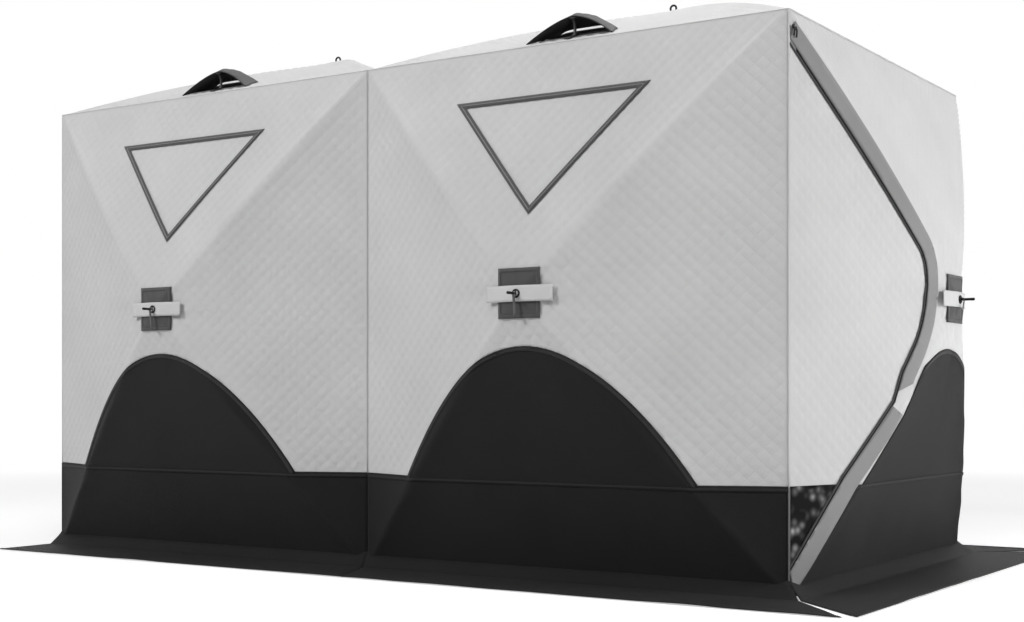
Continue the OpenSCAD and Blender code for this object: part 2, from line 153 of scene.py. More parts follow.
def cloth(name, level, rough=0.6, sheen=0.2, pitch=0.0016, weave=0.0002, mottle=0.06, specular=0.4,
          grain=900.0, quilted=False):
    """Coated fabric in plain weave. Its UV map is in metres."""
    n = Nodes(name)
    place, u, v = n.place()
    broad = n.noise(place, 2.3, 4.0, 0.55)
    fine = n.noise(place, grain, 2.0, 0.6)
    shade = n.math("ADD", n.ramp(broad, 0.3, 0.7, -mottle, mottle),
                   n.ramp(fine, 0.2, 0.8, -mottle, mottle))
    colour = n.mix(n.ramp(shade, -0.5, 0.5), grey(level * 0.5), grey(level * 1.5))
    normal = n.bump(n.math("MULTIPLY", n.threads(u, pitch), n.threads(v, pitch)), weave)
    normal = n.bump(n.noise(place, 9.0, 5.0, 0.6), 0.004, 0.35, normal)
    if quilted:
        along, across = (n.math("PINGPONG", n.math("DIVIDE", n.math(way, u, v), QUILT), 0.5)
                         for way in ("ADD", "SUBTRACT"))
        nearest = n.math("MINIMUM", along, across)
        stitch = n.threads(n.math("MAXIMUM", along, across), 1 / 9)
        dots = n.math("MULTIPLY", n.ramp(nearest, 0.035, 0.0), n.ramp(stitch, -0.2, 0.6))
        height = n.math("SUBTRACT", n.ramp(nearest, 0.0, 0.07), n.math("MULTIPLY", dots, 0.8))
        normal = n.bump(height, 0.0010, 0.5, normal)
        # Painted shade: the cloth is darkened along the stitched grooves, more in some places than others.
        groove_shade = n.math("MULTIPLY", n.ramp(nearest, 0.03, 0.0, 0.0, 0.12),
                      n.ramp(broad, 0.35, 0.65, 0.3, 1.0))
        colour = n.mix(groove_shade, colour, grey(level * 0.6))
    return n.surface({"Base Color": colour, "Normal": normal, "Specular IOR Level": specular,
                      "Roughness": n.ramp(fine, 0.2, 0.8, rough - 0.06, rough + 0.06),
                      "Sheen Weight": sheen, "Sheen Roughness": 0.45})


def mottled_film():
    """Dark coated film with soft pale speckles, on the foot of the door."""
    n = Nodes("mottled_film")
    place = n.place()[0]
    spots = n.add("ShaderNodeTexVoronoi", {"Scale": 27.0, "Randomness": 1.0, "Smoothness": 0.5},
                  feature="SMOOTH_F1")
    n.put(place, spots.inputs["Vector"])
    clouds = n.noise(place, 10.0, 1.0, 0.4)
    soft = n.math("POWER", n.ramp(spots.outputs["Distance"], 0.60, 0.05), 2.0)
    pale = n.math("MULTIPLY", soft, n.ramp(clouds, 0.40, 0.62))
    return n.surface({"Base Color": n.mix(pale, grey(0.001), grey(0.44)),
                      "Normal": n.bump(clouds, 0.001, 0.3), "Roughness": 0.65, "Specular IOR Level": 0.06})


def webbing(name, level, pitch=0.003, pick=0.0018):
    """Ribbed webbing: its ridges run along the UV map's v, its picks across them."""
    n = Nodes(name)
    place, u, v = n.place()
    height = n.math("ADD", n.threads(u, pitch), n.math("MULTIPLY", n.threads(v, pick), 0.5))
    dust = n.noise(place, 60.0, 3.0)
    colour = n.mix(n.ramp(dust, 0.3, 0.7), grey(level * 0.8), grey(level * 1.25))
    return n.surface({"Base Color": colour, "Normal": n.bump(height, 0.0004), "Roughness": 0.72,
                      "Sheen Weight": 0.25})


def moulded(name, level, rough=0.45, specular=0.4, coat=0.0):
    """Moulded nylon, coated wire or glass-fibre rod, with a fine grain and scuffs."""
    n = Nodes(name)
    place = n.place("Object")[0]
    grain = n.noise(place, 1400.0, 2.0)
    scuffs = n.noise(place, 35.0, 5.0, 0.7)
    return n.surface({"Base Color": n.mix(n.ramp(scuffs, 0.55, 0.8), grey(level), grey(level * 2.2 + 0.004)),
                      "Roughness": n.ramp(scuffs, 0.35, 0.75, rough - 0.1, rough + 0.15),
                      "Normal": n.bump(grain, 0.00015), "Specular IOR Level": specular, "Coat Weight": coat})


def mesh_cloth(pitch=0.003):
    """Fine black netting: square holes that light passes through."""
    n = Nodes("vent_net")
    cells = (n.math("PINGPONG", n.math("DIVIDE", along, pitch), 0.5) for along in n.place()[1:])
    thread = n.math("LESS_THAN", n.math("MINIMUM", *cells), 0.2)
    return n.surface({"Base Color": grey(0.015), "Alpha": n.ramp(thread, 0.0, 1.0, 0.55, 1.0),
                      "Roughness": 0.7})


MAT = {
    "quilt": cloth("quilted_cloth", 0.60, rough=0.5, sheen=0.15, quilted=True),
    "plain_pale": cloth("pale_cloth", 0.62, rough=0.5, sheen=0.15),
    "black": cloth("black_cloth", 0.0068, sheen=0.035, mottle=0.36, pitch=0.003, weave=0.0005,
                   specular=0.14, grain=260.0),
    "felled": cloth("felled_cloth", 0.010, sheen=0.05, specular=0.15),
    "edging": cloth("edging_cloth", 0.018, sheen=0.1, specular=0.2),
    "lining": cloth("lining_cloth", 0.016, rough=0.7, sheen=0.05, specular=0.15),
    # Darker than the pale cloth: painted shade for the crease where the bays meet.
    "seam": cloth("seam_crease_shade_cloth", 0.36, rough=0.5, sheen=0.15),
    "trim": cloth("trim_cloth", 0.055, mottle=0.1),
    "line": cloth("trim_line", 0.22, rough=0.55),
    "patch": cloth("patch_cloth", 0.034, sheen=0.25, mottle=0.1),
    # Lighter than the black cloth: a painted highlight, used only for the foot piping of the near front-right
    # corner.
    "piping": cloth("near_corner_highlight_cloth", 0.11, rough=0.55),
    "band": cloth("band_cloth", 0.235, sheen=0.15, mottle=0.1, grain=420.0),
    "tape": webbing("zip_tape", 0.012, 0.004),
    "strap": webbing("strap_web", 0.075),
    "velcro": cloth("velcro_cloth", 0.22, rough=0.8, sheen=0.3, pitch=0.0022, weave=0.0007, mottle=0.14),
    "hood": cloth("hood_cloth", 0.066, sheen=0.15, pitch=0.006, weave=0.0016, mottle=0.2,
                  grain=320.0),
    "hood_lining": cloth("hood_lining", 0.050, rough=0.7, sheen=0.1, specular=0.15, mottle=0.2, grain=320.0),
    "film": mottled_film(),
    "net": mesh_cloth(),
    "wire": moulded("coated_wire", 0.004, rough=0.5, specular=0.2),
    "nylon": moulded("black_nylon", 0.014),
    "rod": moulded("glass_fibre", 0.05, rough=0.3, coat=0.3),
}


# ---------------- panels
class Panel:
    """A wall or roof panel that a hub pulls outward. Its own frame is u across, v up and n outward."""

    def __init__(self, origin, across, up, width, low, high, hub, bulge):
        self.origin, self.across, self.up = (np.array(x, float) for x in (origin, across, up))
        self.out = np.cross(self.across, self.up)
        self.half, self.low, self.high, self.hub, self.bulge = width / 2, low, high, hub, bulge

    def level(self, u, v):
        """How far the cloth stands out: straight ridges along the poles, slacker between them."""
        side = 1 - np.abs(u) / self.half
        rise = np.where(v < self.hub, (v - self.low) / (self.hub - self.low),
                        (self.high - v) / (self.high - self.hub))
        side, rise = np.clip(side, 0, 1), np.clip(rise, 0, 1)
        h = np.minimum(side, rise)
        ratio = h / np.maximum(np.maximum(side, rise), 1e-6)
        taut = 0.35 + 0.65 * ratio ** 3
        peak = 1 - 0.02 * np.exp(-((1 - h) / 0.03) ** 2)
        return self.bulge * (h + BOW * taut * h * (1 - h)) * peak

    def folds(self, u, v):
        """Slack folds that run out from the hub, in metres."""
        du, dv = u, v - self.hub
        r = np.hypot(du, dv)
        turn = np.arctan2(dv, du)
        wave = np.sin(7 * turn + 1.3) + 0.7 * np.sin(11 * turn + 0.4) + 0.5 * np.sin(17 * turn + 2.0)
        return 0.0022 * wave * np.clip(r / 0.10, 0, 1) * np.exp(-r / 0.22)

    def world(self, u, v, n):
        return self.origin + np.outer(u, self.across) + np.outer(v, self.up) + np.outer(n, self.out)

    def point(self, u, v, lift=0.0):
        u, v = np.atleast_1d(np.asarray(u, float)), np.atleast_1d(np.asarray(v, float))
        return self.world(u, v, self.level(u, v) + lift)


def wall(origin, across, width):
    return Panel(origin, across, (0, 0, 1), width, 0, CORNER, HUB, WALL_BULGE)


def roof(bay):
    return Panel((bay * BAY / 2, 0, CORNER), (1, 0, 0), (0, 1, 0), BAY, -DEPTH / 2, DEPTH / 2, 0, ROOF_BULGE)


SIDES = {-1: "left", 1: "right"}
FACES = {-1: "front", 1: "back"}
LONG_WALLS = {f"{FACES[face]}_{SIDES[bay]}": wall((bay * BAY / 2, face * DEPTH / 2, 0), (-face, 0, 0), BAY)
              for face in FACES for bay in SIDES}
END_WALLS = {f"{SIDES[side]}_end": wall((side * BAY, 0, 0), (0, side, 0), DEPTH) for side in SIDES}
WALLS = {**LONG_WALLS, **END_WALLS}
ROOFS = {f"{SIDES[bay]}_roof": roof(bay) for bay in SIDES}


# ---------------- flat outlines
def inside(points, polygon):
    """Even-odd test of points against one closed outline."""
    x, y = points[:, 0][:, None], points[:, 1][:, None]
    a, b = polygon, np.roll(polygon, -1, axis=0)
    crosses = (a[:, 1] > y) != (b[:, 1] > y)
    rise = np.where(b[:, 1] == a[:, 1], 1e-12, b[:, 1] - a[:, 1])
    at = a[:, 0] + (y - a[:, 1]) * (b[:, 0] - a[:, 0]) / rise
    return (crosses & (x < at)).sum(axis=1) % 2 == 1


def distance(points, polygon, closed=True):
    """Distance of each point from an outline."""
    a = polygon if closed else polygon[:-1]
    b = np.roll(polygon, -1, axis=0) if closed else polygon[1:]
    best = np.full(len(points), np.inf)
    for p, q in zip(a, b):
        d = q - p
        t = np.clip(((points - p) @ d) / max(d @ d, 1e-12), 0, 1)
        best = np.minimum(best, np.linalg.norm(points - p - t[:, None] * d, axis=1))
    return best


def resample(points, step, closed=True):
    """Points along an outline, no more than step apart, its corners kept."""
    points = np.asarray(points, float)
    ends = np.roll(points, -1, axis=0) if closed else points[1:]
    result = []
    for p, q in zip(points, ends):
        count = max(1, math.ceil(np.linalg.norm(q - p) / step))
        result += [p + (q - p) * i / count for i in range(count)]
    if not closed:
        result.append(points[-1])
    return np.array(result)


def shift(points, by, closed=False):
    """An outline moved sideways, to the left of its direction, with mitred corners."""
    points = np.asarray(points, float)
    ahead = np.roll(points, -1, axis=0) - points
    behind = points - np.roll(points, 1, axis=0)
    if not closed:
        ahead[-1], behind[0] = behind[-1], ahead[0]
    ahead /= np.linalg.norm(ahead, axis=1)[:, None]
    behind /= np.linalg.norm(behind, axis=1)[:, None]
    left = np.stack([-(ahead + behind)[:, 1], (ahead + behind)[:, 0]], axis=1)
    length = np.linalg.norm(left, axis=1)
    half_turn = length / 2
    return points + by * left / length[:, None] / half_turn[:, None]


def arch(grow=0.0, steps=40):
    """Top edge of the black foot under a hub: a parabola, from right to left."""
    t = np.linspace(1, -1, steps + 1)
    return shift(np.stack([ARCH_HALF * t, BAND + (ARCH_TOP - BAND) * (1 - t * t)], axis=1), -grow)


def arch_above(height, grow=0.0, steps=40):
    """The arch's part above a height, cut off exactly there."""
    curve = arch(grow, steps)
    keep = np.flatnonzero(curve[:, 1] > height)
    feet = []
    for at, beyond in ((keep[0], keep[0] - 1), (keep[-1], keep[-1] + 1)):
        a, b = curve[at], curve[beyond]
        feet.append(a + (b - a) * (a[1] - height) / (a[1] - b[1]))
    return np.vstack([feet[0], curve[keep], feet[1]])


def base_outline(half, grow=0.0):
    ring = [[-half, 0], [half, 0], [half, BAND + grow]]
    return np.array(ring + arch_above(BAND + grow, grow).tolist() + [[-half, BAND + grow]])


def window_outline(inward):
    top = CORNER - WINDOW_DROP
    ring = [[-WINDOW_HALF, top], [0, top - WINDOW_RISE], [WINDOW_HALF, top]]
    return shift(ring, inward, closed=True)


def bezier(a, b, c, d, steps):
    t = np.linspace(0, 1, steps + 1)[:, None]
    a, b, c, d = (np.array(x, float) for x in (a, b, c, d))
    return a * (1 - t) ** 3 + 3 * b * t * (1 - t) ** 2 + 3 * c * t * t * (1 - t) + d * t ** 3


def door_edge(grow=0.0, past=0.0):
    """The door's free edge from its top to its foot, in the end panel's frame, run past the corner."""
    half = DEPTH / 2

    def by_pole(inward, away, start):
        """A point that far from the panel's middle and from the pole between the hub and a corner."""
        d = half - inward
        return np.array([d, start + (HUB - start) * d / half + away])

    shoulder, waist, shin = by_pole(0.260, -0.090, CORNER), by_pole(0.382, 0.085, 0), by_pole(0.620, 0.114, 0)
    top, foot = np.array([0, CORNER - DOOR_DROP]), np.array([0, DOOR_FOOT])
    nose = bezier(shoulder, [half - 0.166, HUB + 0.103], [half - 0.195, HUB - 0.052],
                  [half - 0.273, HUB - 0.170], 16)
    ahead = (top - shoulder) / np.linalg.norm(top - shoulder)
    below = (foot - shin) / np.linalg.norm(foot - shin)
    reach = 0.12
    path = np.vstack([top + ahead * reach, nose, [half - 0.337, HUB - 0.259], waist, shin,
                      foot + below * reach])
    path[:, 0] -= half
    path = shift(path, grow)
    return clip_left(path, -half - past)


def clip_left(path, u):
    """Cuts the ends of a path off where they pass left of u."""
    path = path.tolist()
    for at, nxt in ((0, 1), (-1, -2)):
        (x0, y0), (x1, y1) = path[at], path[nxt]
        t = (u - x0) / (x1 - x0)
        path[at] = [u, y0 + t * (y1 - y0)]
    return np.array(path)


# ---------------- meshes
def smooth_noise(points, scale, seed):
    """Smooth value noise for an array of points."""
    place = Vector((seed * 7.3, seed * 3.1, seed * 1.7))
    return np.array([noise.noise(Vector(p) * scale + place) for p in points])


def build(name, points, faces, uvs, mat, body="shelter"):
    """A smooth mesh object. uvs has one pair of metres for each point."""
    mesh = bpy.data.meshes.new(name)
    mesh.from_pydata([tuple(p) for p in points], [], [tuple(f) for f in faces])
    layer = mesh.uv_layers.new(name="metres")
    index = np.empty(len(mesh.loops), np.int32)
    mesh.loops.foreach_get("vertex_index", index)
    layer.data.foreach_set("uv", np.asarray(uvs, np.float32)[index].ravel())
    mesh.polygons.foreach_set("use_smooth", np.ones(len(mesh.polygons), bool))
    mesh.materials.append(mat)
    mesh.update()
    piece = bpy.data.objects.new(name, mesh)
    bpy.context.scene.collection.objects.link(piece)
    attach(piece, body)
    return piece


def thicken(piece, thickness, offset=-1.0, lining=None):
    """Gives a sheet its thickness, applied to the mesh, and its inner face its own finish."""
    solid = piece.modifiers.new("thick", "SOLIDIFY")
    if lining:
        piece.data.materials.append(lining)
        solid.material_offset = 1
    solid.thickness, solid.offset, solid.use_even_offset = thickness, offset, False
    graph = bpy.context.evaluated_depsgraph_get()
    mesh = bpy.data.meshes.new_from_object(piece.evaluated_get(graph))
    piece.modifiers.clear()
    piece.data = mesh


def wanted(points, outline, holes, spare, cuts):
    """Which points belong to a cloth of that outline, holes, spare parts and cuts."""
    keep = np.ones(len(points), bool)
    for hole in holes:
        keep &= ~inside(points, hole)
    for ring in spare:
        keep |= inside(points, ring)
    for cut in cuts:
        keep &= ~inside(points, cut)
    return keep & inside(points, outline)


def panel_cloth(name, panel, outline, mat, body="shelter", holes=(), spare=(), cuts=(), lift=0.0,
                puff=0.0, thick=0.0, step=QUILT / 3, creases=(), seed=0, folds=1.0, slack=0.0012):
    """Cloth on a panel: a net of points along the quilting's diagonals inside an outline.

    Holes are left out of it, except where they overlap a spare part; cuts are left out everywhere."""
    outline = np.asarray(outline, float)
    rings = [resample(ring, step) for ring in (outline, *holes, *spare, *cuts)]
    lines = [resample(c, step, closed=False) for c in creases]
    low, high = outline.min(axis=0), outline.max(axis=0)
    span = np.arange(math.floor((low.sum()) / step) - 2, math.ceil((high.sum()) / step) + 2)
    diff = np.arange(math.floor((low[0] - high[1]) / step) - 2, math.ceil((high[0] - low[1]) / step) + 2)
    a, b = np.meshgrid(span * step, diff * step)
    net = np.stack([(a + b).ravel() / 2, (a - b).ravel() / 2], axis=1)
    net = net[wanted(net, outline, holes, spare, cuts)]
    edge = np.min([distance(net, r) for r in rings] + [distance(net, c, False) for c in lines], axis=0)
    net = net[edge > step * 0.35]
    points, edges = list(map(Vector, net)), []
    for ring, closed in [(r, True) for r in rings] + [(c, False) for c in lines]:
        first = len(points)
        points += list(map(Vector, ring))
        edges += [(first + i, first + i + 1) for i in range(len(ring) - 1)]
        if closed:
            edges.append((first + len(ring) - 1, first))
    flat, _, faces, *_ = delaunay_2d_cdt(points, edges, [], 0, 1e-6)
    flat, faces = np.array(flat)[:, :2], np.array([list(f) for f in faces])
    faces = faces[wanted(flat[faces].mean(axis=1), outline, holes, spare, cuts)]
    used, faces = np.unique(faces, return_inverse=True)
    flat, faces = flat[used], faces.reshape(-1, 3)
    u, v = flat[:, 0], flat[:, 1]
    edge = np.min([distance(flat, r) for r in rings], axis=0)
    away = np.clip(edge / 0.02, 0, 1)
    n = panel.level(u, v) + lift + folds * panel.folds(u, v)
    n = n + slack * smooth_noise(np.stack([u, v, 0 * u], axis=1), 5.0, seed + 1) * np.clip(edge / 0.15, 0, 1)
    if puff:
        quilt = np.abs(np.sin(math.pi * (u + v) / QUILT) * np.sin(math.pi * (u - v) / QUILT)) ** 0.5
        n = n + puff * (quilt - 0.5) * away
    for crease in lines:
        n = n - CREASE * np.exp(-(distance(flat, crease, False) / 0.004) ** 2)
    piece = build(name, panel.world(u, v, n), faces, flat, mat, body)
    a, b, c = (flat[faces[:, i]] for i in range(3))
    piece["flat_area"] = float(np.abs(np.cross(b - a, c - a)).sum() / 2)
    if thick:
        thicken(piece, thick)
    return piece


def tube(name, path, radius, mat, slot, sides=10, closed=False, scale=None):
    """A round tube along a path of points, with its ends closed. scale gives a radius share per point."""
    path = np.asarray(path, float)
    count = len(path)
    ahead = np.roll(path, -1, axis=0) - np.roll(path, 1, axis=0)
    if not closed:
        ahead[0], ahead[-1] = path[1] - path[0], path[-1] - path[-2]
    ahead /= np.linalg.norm(ahead, axis=1)[:, None]
    first = np.array([0, 0, 1.0]) if abs(ahead[0][2]) < 0.9 else np.array([1.0, 0, 0])
    side = np.cross(ahead[0], first)
    points, uvs, run = [], [], 0.0
    for i in range(count):
        side = side - (side @ ahead[i]) * ahead[i]
        side /= np.linalg.norm(side)
        up = np.cross(ahead[i], side)
        r = radius * (1 if scale is None else scale[i])
        run += np.linalg.norm(path[i] - path[i - 1]) if i else 0
        for k in range(sides):
            turn = 2 * math.pi * k / sides
            points.append(path[i] + r * (math.cos(turn) * side + math.sin(turn) * up))
            uvs.append((radius * turn, run))
    return build(name, points, ring_faces(count, sides, closed), uvs, mat)


def ring_faces(count, sides, closed=False):
    """Faces between rings of points, in a loop or with an end face on the first and last."""
    faces = []
    for i in range(count if closed else count - 1):
        j = (i + 1) % count
        for k in range(sides):
            m = (k + 1) % sides
            faces.append((i * sides + k, i * sides + m, j * sides + m, j * sides + k))
    if not closed:
        faces.append(tuple(reversed(range(sides))))
        faces.append(tuple(range((count - 1) * sides, count * sides)))
    return faces


def lathe(name, centre, axis, first, profile, mat, slot, sides=28):
    """Turns a profile of (radius, height) about an axis through a centre, from a first direction."""
    second = np.cross(axis, first)
    points, uvs = [], []
    for r, h in profile:
        for k in range(sides):
            turn = 2 * math.pi * k / sides
            points.append(centre + h * axis + r * (math.cos(turn) * first + math.sin(turn) * second))
            uvs.append((r * turn, h))
    return build(name, points, ring_faces(len(profile), sides), uvs, mat)


def join(name, parts):
    """Makes one object of several, under the first one's body."""
    first = parts[0]
    if len(parts) > 1:
        with bpy.context.temp_override(active_object=first, selected_editable_objects=parts):
            bpy.ops.object.join()
    first.name = name
    first.data.name = name
    return first


def grid_faces(rows, columns):
    return [(i * columns + j, i * columns + j + 1, (i + 1) * columns + j + 1, (i + 1) * columns + j)
            for i in range(rows - 1) for j in range(columns - 1)]


# ---------------- seeds and outlines of cloth
def seed_of(name):
    return sum(ord(letter) for letter in name) % 97


def declare(piece):
    """Reads the UV map of a sheet of cloth into an array, and does nothing more with it."""
    mesh = piece.data
    uv = np.empty(len(mesh.loops) * 2, np.float32)
    mesh.uv_layers[0].data.foreach_get("uv", uv)
    uv = uv.reshape(-1, 2)


def box_ring(u0, u1, v0, v1):
    return np.array([[u0, v0], [u1, v0], [u1, v1], [u0, v1]])


def strip_ring(path_a, path_b):
    """Closed outline between two paths that run the same way."""
    return np.vstack([path_a, path_b[::-1]])


def sliver_ring():
    """Where the quilted wall shows between the zip band and the black foot: the end wall above the
    band, up to a line beside the zip band."""
    path = door_edge(SLIVER, DOOR_PAST)
    i = int(np.argmax(path[:, 1] < BAND))
    (x0, y0), (x1, y1) = path[i - 1], path[i]
    crossing = [x0 + (x1 - x0) * (BAND - y0) / (y1 - y0), BAND]
    return np.vstack([path[:i], crossing, [path[0, 0], BAND]])


# ---------------- walls and roofs
def make_walls():
    for name, panel in WALLS.items():
        half = panel.half
        spare, cuts = [], []
        if name in LONG_WALLS:
            cuts.append(window_outline(0.010))
        if name == "right_end":
            spare.append(sliver_ring())
            cuts.append(door_edge(DOOR_CUT, DOOR_PAST))
        piece = panel_cloth(name + "_wall_cloth", panel, box_ring(-half, half, BAND - WALL_LAP, CORNER),
                            MAT["quilt"], holes=[base_outline(half + 0.02)], spare=spare,
                            cuts=cuts, puff=PUFF, thick=WALL_T, seed=seed_of(name))
        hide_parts(name + "_wall")
        declare(piece)


def make_bases():
    for name, panel in WALLS.items():
        half = panel.half
        holes = [door_edge(DOOR_CUT, DOOR_PAST), sliver_ring()] if name == "right_end" else []
        seam = [[-half, BAND - 0.010], [half, BAND - 0.010]]
        piece = panel_cloth(name + "_base_cloth", panel, base_outline(half, 0.004), MAT["black"],
                            holes=holes, lift=0.0012, thick=BASE_T, step=0.022,
                            creases=[seam], seed=seed_of(name), slack=0.003)
        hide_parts(name + "_base")
        declare(piece)
        curve = arch_above(BAND, 0.0, 60)
        if name == "right_end":
            curve = curve[~inside(curve, sliver_ring())]
            side = zip_path(SLIVER, BAND, curve[-1, 1])
            curve = np.vstack([curve, side])
        path = panel.point(curve[:, 0], curve[:, 1], 0.0020)
        piping = tube(name + "_arch_piping", path, 0.0024, MAT["lining"], "trim_fabric")
        binding = strip_ring(arch_above(BAND), arch(-0.012))
        felled = box_ring(-half, half, BAND - 0.016, BAND - 0.004)
        strips = [panel_cloth("strip", panel, ring, MAT[finish], holes=skip, lift=lift,
                              thick=0.0022, step=0.012, slack=0.003, seed=seed_of(name))
                  for ring, finish, skip, lift in ((binding, "edging", holes, 0.0032),
                                                   (felled, "felled", holes[:1], 0.0028))]
        join(name + "_arch_piping", [piping, *strips])


def make_roofs():
    for name, panel in ROOFS.items():
        u, v = panel.half - EAVE_INSET, panel.high - EAVE_INSET
        piece = panel_cloth(name + "_cloth", panel, box_ring(-u, u, -v, v), MAT["quilt"],
                            holes=[vent_ring()], puff=PUFF, thick=WALL_T, seed=seed_of(name))
        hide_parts(name)
        declare(piece)


def straight(name, start, stop, count, radius, mat, slot="quilted_fabric"):
    """Straight piping through count points."""
    tube(name, np.linspace(start, stop, count), radius, MAT[mat], slot)


def make_seams():
    """Piping down the corners and round the eaves, and the seams where the bays meet."""
    half = DEPTH / 2
    for side, hand in SIDES.items():
        x = side * BAY
        for edge, face in FACES.items():
            y = edge * half
            corner = f"{face}_{hand}"
            straight(corner + "_corner_piping", (x, y, BAND), (x, y, CORNER), 24, 0.0026, "plain_pale")
            # The front-right corner's foot piping is lighter than the other corners': a painted highlight.
            finish = "piping" if corner == "front_right" else "black"
            straight(corner + "_foot_piping", (x, y, 0.004), (x, y, BAND), 8, 0.0035, finish, "black_fabric")
        straight(hand + "_eave_piping", (x, -half, CORNER), (x, half, CORNER), 24, 0.0018, "plain_pale")
    for edge, face in FACES.items():
        y = edge * half
        straight(face + "_eave_piping", (-BAY, y, CORNER), (BAY, y, CORNER), 48, 0.0018, "plain_pale")
        # The seam where the bays meet is a darker tube: painted shade of that crease.
        straight(face + "_middle_seam", (0, y, BAND), (0, y, CORNER), 24, 0.0022, "seam")
    straight("roof_middle_seam", (0, -half, CORNER), (0, half, CORNER), 24, 0.003, "plain_pale")


# ---------------- ground skirt
SKIRT_SLIT = 0.032
HEM_ROWS = 4
SKIRT_ENDS = {  # how far the skirt's outer edge runs past its wall's start and end
    "front_left": (0.0, 0.150), "front_right": (0.150, SKIRT_W - SKIRT_SLIT),
    "back_left": (-0.150, 0.0), "back_right": (SKIRT_SLIT - SKIRT_W, -0.150),
    "left_end": (0.0, -0.310), "right_end": (SKIRT_SLIT - SKIRT_W, SKIRT_W - SKIRT_SLIT),
}


def make_skirts():
    """Sheets on the ground, each with a hem that climbs its wall and a folded outer edge."""
    climb = HEM_H / (HEM_RUN - HEM_GAP)
    share = np.linspace(0, 1, 90)
    runs = [*(HEM_RUN * j / HEM_ROWS for j in range(HEM_ROWS)), *np.linspace(HEM_RUN, SKIRT_W - 0.026, 12),
            SKIRT_W - 0.023, SKIRT_W - 0.012, SKIRT_W]
    for name, (slant0, slant1) in SKIRT_ENDS.items():
        panel = WALLS[name]
        rows, uvs = [], []
        for j, run in enumerate(runs):
            out = np.full(len(share), run)
            low = -panel.half + slant0 * out / SKIRT_W
            high = panel.half + slant1 * out / SKIRT_W
            u = low + (high - low) * share
            if j < HEM_ROWS:
                seam = np.full(len(share), 0.01)
                for _ in range(12):
                    seam = panel.level(u, climb * (HEM_RUN - seam))
                out = seam + (HEM_RUN - seam) * j / HEM_ROWS
                z = climb * (HEM_RUN - out) * (1 - 0.12 * math.sin(math.pi * j / HEM_ROWS)) + 0.003
            else:
                wave = smooth_noise(np.stack([u, out, 0 * u], axis=1), 4.0, seed_of(name))
                far = (out - HEM_RUN) / (SKIRT_W - HEM_RUN)
                z = 0.0035 + 0.004 * np.clip(wave, 0, 1) * far + 0.0015 * (out > SKIRT_W - 0.0235)
            rows.append(panel.world(u, z, out))
            uvs.append(np.stack([u, out], axis=1))
        piece = build(name + "_skirt_cloth", np.vstack(rows), grid_faces(len(rows), len(share)),
                      np.vstack(uvs), MAT["black"])
        piece["flat_area"] = SKIRT_W * (2 * panel.half + (slant1 - slant0) / 2)
        thicken(piece, 0.0025, offset=1.0)
        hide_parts(name + "_skirt")
        declare(piece)


# ---------------- windows
def make_windows():
    for run in ("front", "back"):
        covers, trims = [], []
        for side in SIDES.values():
            panel = LONG_WALLS[f"{run}_{side}"]
            name = f"{run}_{side}_window_"
            cover = panel_cloth(name + "cover", panel, window_outline(0.009), MAT["quilt"],
                                lift=-0.001, puff=PUFF, thick=0.006, seed=5)
            declare(cover)
            covers.append(cover)
            trim = panel_cloth(name + "trim", panel, window_outline(0.0), MAT["trim"],
                               holes=[window_outline(0.020)], lift=0.0036, thick=0.0022, step=0.010, slack=0)
            ring = resample(window_outline(0.010), 0.02)
            line = tube("window_line", panel.point(ring[:, 0], ring[:, 1], 0.0040), 0.0016, MAT["line"],
                        "trim_fabric", sides=8, closed=True)
            trims.append(join(name + "trim", [trim, line]))
        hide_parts(run + "_window_covers")
        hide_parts(run + "_window_trims")


# ---------------- hub dressing
PATCH_HALF, PATCH_HEM = 0.0825, 0.013
TAB_W, TAB_H = 0.257, 0.054
RING_R = 0.0125
WIRE = MAT["wire"], "coated_metal"
# the rod's profile (radius, height) from its foot and from its tip, and the strap's path (up, out)
ROD_FOOT = ((0.0040, -0.004), (0.0040, 0.001), (0.0024, 0.002), (0.0024, 0.009), (0.0036, 0.0095),
            (0.0046, 0.011))
ROD_TIP = ((0.0046, -0.016), (0.0050, -0.014), (0.0050, -0.003), (0.0042, -0.0008), (0.0015, 0))
ROOF_BOSS = ((0.018, -0.002), (0.018, 0.004), (0.015, 0.006), (0.006, 0.007), (0.005, 0.012), (0.002, 0.014))
STRAP = ((0.0055, -0.002), (0.0060, 0), (0.0030, 0.0045), (-0.006, 0.0035), (-0.020, 0.001),
         (-0.038, -0.001), (-0.056, -0.003), (-0.075, -0.005))


def wire_ring(centre, a, b, radius):
    """Ring of wire round a centre, through directions a and b."""
    turn = np.linspace(0, 2 * math.pi, 32, endpoint=False)
    path = centre + RING_R * (np.outer(np.cos(turn), a) + np.outer(np.sin(turn), b))
    return tube("ring", path, radius, *WIRE, closed=True)


def make_patch(name, panel):
    """Square patch behind a hub's pull, with a folded hem."""
    square, inner = (box_ring(-s, s, HUB - s, HUB + s + 0.004) for s in (PATCH_HALF, PATCH_HALF - PATCH_HEM))
    patch, hem = (panel_cloth(name + label, panel, square, MAT["patch"], holes=holes,
                              lift=lift, thick=thick, step=step, folds=0.3)
                  for label, holes, lift, thick, step in (("_hub_patch", [], 0.004, 0.003, 0.012),
                                                          ("_hub_patch_hem", [inner], 0.0056, 0.002, 0.010)))
    declare(patch)
    return patch


